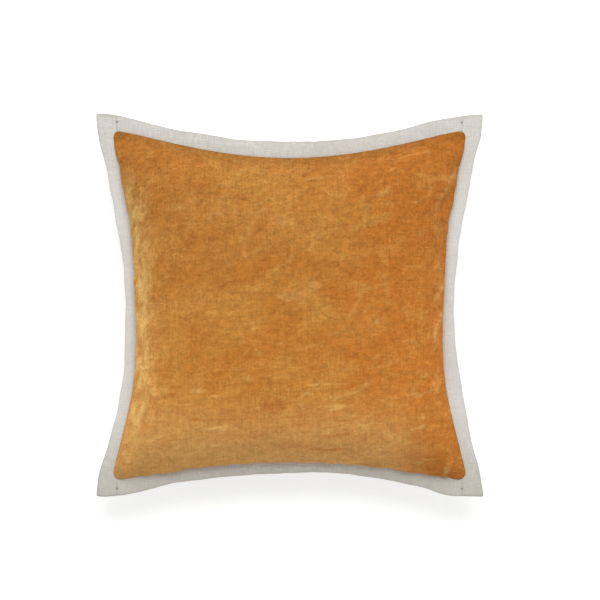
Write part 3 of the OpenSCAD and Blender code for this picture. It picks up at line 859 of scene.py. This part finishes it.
VELVET = velvet_material()
LINEN = linen_material("frame_linen", rgba(219, 218, 212), rgba(199, 197, 190), painted_light_and_shade=0.3)
BACK_LINEN = linen_material("back_linen", rgba(217, 215, 208), rgba(198, 195, 187))
TAPE = linen_material("zip_tape_weave", rgba(216, 210, 198), rgba(186, 179, 165), 0.0005)
COTTON = linen_material("pad_cotton", rgba(243, 241, 236), rgba(226, 223, 216), 0.0004)
LABEL = linen_material("label_satin", rgba(247, 247, 244), rgba(232, 231, 227), 0.0003)
THREAD = thread_material("sewing_thread", rgba(196, 190, 178), rgba(222, 217, 206))
TACK_THREAD = thread_material("tack_thread", rgba(140, 132, 116), rgba(172, 164, 148))
COIL = coil_material()
BRASS = brass_material()
WADDING = wadding_material()


def place(piece, slot, *nodes, body="pillow"):
    """Puts a finished piece in the frame under its body, and hides the nodes it stands for. Its slot is
    not used.
    """
    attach(piece, body)
    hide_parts(*nodes)
    return piece


# ---- building ----

def build_cover():
    """The velvet and the back. Returns the velvet's outside, whose edge is the seam."""
    front, crest, upper, lower = filled_sheets()
    u, v = np.meshgrid(FINE_ACROSS, FINE_ACROSS)
    # Painted sheen by the left edge, but not at its ends, and painted shade along the top seam
    worn = swell(u, -0.93, 0.09) * np.clip(4 - np.abs(v) * 5, 0, 1)
    velvet = cloth("velvet_front", front, VELVET_T, VELVET, levels=0, crest=crest, worn=worn,
                   rim=swell(v, 1, 0.06))
    place(velvet, "velvet", "velvet_front_panel")
    for side, sheet, part in ((1, upper, "upper"), (-1, lower, "lower")):
        grid = back_panel(sheet, side)
        piece = cloth(f"linen_back_{part}", grid, hem_thickness(grid), BACK_LINEN)
        place(piece, "linen", f"back_panel_{part}")
    return front


def build_flange():
    """The four strips, with painted shade along their turned edges."""
    strips = {
        "left": side_strip(-1), "right": side_strip(1), "top": cross_strip(1), "bottom": cross_strip(-1),
    }
    for name, grid in strips.items():
        # Painted shade along each strip's turned edge, and at the ends of the side strips
        outer = np.broadcast_to(swell(ACROSS_STRIP, 1, 0.05), grid.shape[:2])
        rim = outer[:, ::-1] if name in ("left", "top") else outer
        if name in ("left", "right"):
            ends = np.linspace(-1, 1, len(grid))[:, None]
            rim = np.maximum(rim, swell(np.abs(ends), 1, 0.01))
        strip = cloth(f"flange_{name}", grid, LINEN_T - 0.1, LINEN, rim=rim)
        place(strip, "linen", f"flange_strip_{name}")


def seam_line(front, pitch):
    """Points along the velvet's seam, a stitch's pitch apart, a little outside it."""
    ring = edge_loop(front)
    ahead = np.roll(ring, -1, axis=0) - np.roll(ring, 1, axis=0)
    out = np.stack([ahead[:, 1], -ahead[:, 0]], axis=-1)
    off_seam = 1.3
    ring = ring[:, :2] + off_seam * out / np.linalg.norm(out, axis=-1, keepdims=True)
    ring = np.concatenate([ring, ring[:1]])
    arc = np.concatenate([[0], np.cumsum(np.linalg.norm(np.diff(ring, axis=0), axis=-1))])
    at = np.linspace(0, arc[-1], int(arc[-1] / pitch) + 1)[:-1]
    xy = np.stack([np.interp(at, arc, ring[:, 0]), np.interp(at, arc, ring[:, 1])], axis=-1)
    return np.concatenate([xy, np.full((len(xy), 1), STRIP_TOP - 0.02)], axis=-1)


def build_seam_stitches(front):
    """Stitches round the velvet. Each covers most of the way to the next one."""
    line = seam_line(front, 3.5)
    share = 0.72
    made = [stitch(a, a + share * (b - a), 0.22, 0.25) for a, b in zip(line, np.roll(line, -1, axis=0))]
    place(make_object("seam_stitches", *joined(made), THREAD), "thread", "frame_stitching")


def build_tacks():
    """Four short threads side by side over the strips' joint at each corner."""
    tacks = []
    for sx in (-1, 1):
        for sy in (-1, 1):
            at = np.array([sx * STRIP_JOINT, sy * (COVER_H / 2 - 12), STRIP_TOP + 0.35])
            middle = flange_shift(at)
            for k in range(4):
                a = middle + np.array([-1.6, 0.4 * (k - 1.5), 0])
                b = middle + np.array([1.6, 0.4 * (k - 1.5) + 0.15, 0])
                tacks.append(stitch(a, b, 0.2, 0.3))
    place(make_object("corner_tack_stitches", *joined(tacks), TACK_THREAD), "thread", "corner_tacks")


def build_zip_stitches():
    """A row of stitches along each side of the zip, through the hem and the tape."""
    per_row = round(2 * ZIP_HALF / ZIP_PITCH)
    rows = []
    for side in (-1, 1):
        for k in range(per_row):
            a = np.array([(k - per_row / 2 + 0.1) * ZIP_PITCH, ZIP_Y + side * 9.0, LEDGE_Z - 0.2])
            rows.append(stitch(a, a + np.array([0.8 * ZIP_PITCH, 0, 0]), 0.24, -0.3))
    place(make_object("zip_seam_stitches", *joined(rows), THREAD), "thread", "zip_stitching")


def coil(side, shift):
    """One nylon spiral of the zip, with a wider head on each turn where it faces the other row."""
    turns, per_turn, pitch = 118, 12, 2.5
    turn = np.linspace(0, 2 * math.pi * turns, turns * per_turn + 1)
    x = -ZIP_HALF + 1.2 + shift + pitch * turn / (2 * math.pi)
    y = ZIP_Y + side * (1.72 + 0.8 * np.cos(turn))
    z = COIL_Z + 0.7 * np.sin(turn)
    head = 0.27 + 0.06 * np.clip(-np.cos(turn), 0, 1) ** 3
    return tube(np.stack([x, y, z], axis=-1), head, 7, (1, 0, 0))


def build_zip():
    """The two spirals, half a turn apart, on their tapes."""
    tape_half = ZIP_HALF + 15
    for side, part, shift in ((1, "upper", 0.0), (-1, "lower", 1.25)):
        spiral = make_object(f"zip_spiral_{part}", *coil(side, shift), COIL)
        place(spiral, "zip_coil", f"zip_coil_{part}")
        x, across = np.meshgrid(np.linspace(-tape_half, tape_half, 161), np.linspace(0.7, 14, 9))
        y = ZIP_Y + side * across
        grid = np.stack([x, y, np.full_like(x, TAPE_TOP)], axis=-1)
        piece = cloth(f"zip_tape_band_{part}", grid if side > 0 else grid[:, ::-1], 0.6, TAPE)
        place(piece, "zip_tape", f"zip_tape_{part}")


def finish_zip_metal():
    """Gives the CAD slider, pull and stops their brass and worn edges."""
    for name in ("zip_slider", "zip_pull", "zip_top_stops", "zip_bottom_stop"):
        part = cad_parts[name]
        part.data.materials.clear()
        part.data.materials.append(BRASS)
        bevel = part.modifiers.new("worn_edges", "BEVEL")
        bevel.width = 0.00018
        bevel.segments = 2
        bevel.limit_method = "ANGLE"
        bevel.angle_limit = math.radians(40)


def pad_sheet(inset, top, under):
    """A front and a back grid of the pad, inset from the velvet's seam. top is the height of the crown
    over the seam, and under that of the flat underside over the floor."""
    steps = even_steps(26)
    spread = np.concatenate([-steps[:0:-1], steps])
    u, v = np.meshgrid(spread, spread)
    gap = inset + OVERHANG["side"] * drawn(v)
    half_y = np.where(v > 0, seam_y(u * PANEL_W, "top"), seam_y(u * PANEL_W, "bottom")) - inset
    y = v * half_y
    x = u * (PANEL_W - gap - PANEL_DRAW["side"] * drawn(y / PANEL_H))
    share = crown(u, v)
    over_zip = 8.2 * np.clip((38 - np.abs(y - ZIP_Y)) / 12, 0, 1)
    low = over_floor(STRIP_LOW - 0.3 - (BACK_DEPTH - 3) * share, under + over_zip)
    front = np.stack([x, y, STRIP_LOW + 0.3 + top * share], axis=-1)
    back = np.stack([x, y, low], axis=-1)
    return front, back


def build_case():
    """The pad's cotton case, in two halves that meet at the seam."""
    front, back = pad_sheet(inset=7.0, top=58.0, under=2.8)
    for side, grid in (("front", front), ("back", back[:, ::-1])):
        shell = cloth(f"pad_case_{side}", grid, COTTON_T, COTTON)
        place(shell, "cotton", f"insert_shell_{side}")


def build_filling():
    """The filling, a little lumpy on top."""
    front, back = pad_sheet(inset=9.5, top=54.0, under=4.6)
    rows, cols, _ = front.shape
    share = crown(*np.meshgrid(np.linspace(-1, 1, cols), np.linspace(-1, 1, rows)))
    front[..., 2] += 0.8 * smooth_noise(front, 30, 2.0) * share
    solid = make_object("pad_filling", np.stack([front, back]), closed_faces(rows, cols), WADDING)
    place(subdivide(solid), "filling", "insert_filling")


def build_closing():
    """The row of stitches that closes the pad's case, at the middle of its top edge."""
    made = []
    for k in range(-10, 11):
        x = 6.0 * k
        edge = np.array([x, float(seam_y(np.array(x), "top")) - 6.4, STRIP_LOW])
        made.append(stitch(edge - [1.8, 0, 0], edge + [1.8, 0, 0], 0.22, 0.2))
    place(make_object("pad_closing_thread", *joined(made), THREAD), "thread", "insert_closing_stitches")


def build_label():
    """A blank label on the inside of the back, slightly curled."""
    left, bottom, width, height = 90, -69, 32, 44
    x, y = np.meshgrid(np.linspace(left, left + width, 13), np.linspace(bottom, bottom + height, 17))
    grid = np.stack([x, y, 2.0 + 0.12 * np.sin(x / 5.0)], axis=-1)
    place(cloth("folded_label", grid, 0.4, LABEL), "label", "care_label")


def build_stage():
    """A large pale floor, soft light from all round and a broad lamp beyond the pillow's top edge."""
    size = 6000
    grid = np.stack(np.meshgrid([-size, size], [-size, size]) + [np.full((2, 2), -0.3)], axis=-1)
    floor = make_object("floor", grid, grid_faces(2, 2), floor_material())

    world = bpy.data.worlds.new("studio")
    world.use_nodes = True
    tree = world.node_tree
    up = tree.nodes.new("ShaderNodeSeparateXYZ")
    tree.links.new(tree.nodes.new("ShaderNodeTexCoord").outputs["Generated"], up.inputs[0])
    fade = tree.nodes.new("ShaderNodeMapRange")
    tree.links.new(up.outputs["Z"], fade.inputs["Value"])
    fade.inputs["From Max"].default_value = 0.5
    fade.inputs["To Min"].default_value = 1.0
    fade.inputs["To Max"].default_value = 0.62
    tree.links.new(fade.outputs[0], tree.nodes["Background"].inputs["Strength"])
    tree.nodes["Background"].inputs["Color"].default_value = (1, 1, 1, 1)
    bpy.context.scene.world = world

    lamp = bpy.data.lights.new("key", "AREA")
    lamp.size = 1.6
    lamp.energy = 30
    holder = bpy.data.objects.new("key", lamp)
    holder.location = (0.1, 1.5, 1.8)
    holder.rotation_euler = holder.location.to_track_quat("Z", "Y").to_euler()
    bpy.context.scene.collection.objects.link(holder)


def build_camera():
    """Straight over the pillow from 3 m, with the pillow a little left of and below the middle."""
    data = bpy.data.cameras.new("camera")
    distance = 3.0
    picture_width = 0.775
    data.lens = data.sensor_width * distance / picture_width
    camera = bpy.data.objects.new("camera", data)
    camera.location = (0.0136, 0.0065, distance + STRIP_TOP * MM)
    bpy.context.scene.collection.objects.link(camera)
    bpy.context.scene.camera = camera


build_camera()
build_stage()
SEWN_FRONT = build_cover()
build_flange()
build_seam_stitches(SEWN_FRONT)
build_tacks()
build_zip_stitches()
build_zip()
finish_zip_metal()
build_label()
build_case()
build_filling()
build_closing()

view = bpy.context.scene.view_settings
view.view_transform = "Standard"
view.exposure = 0.0
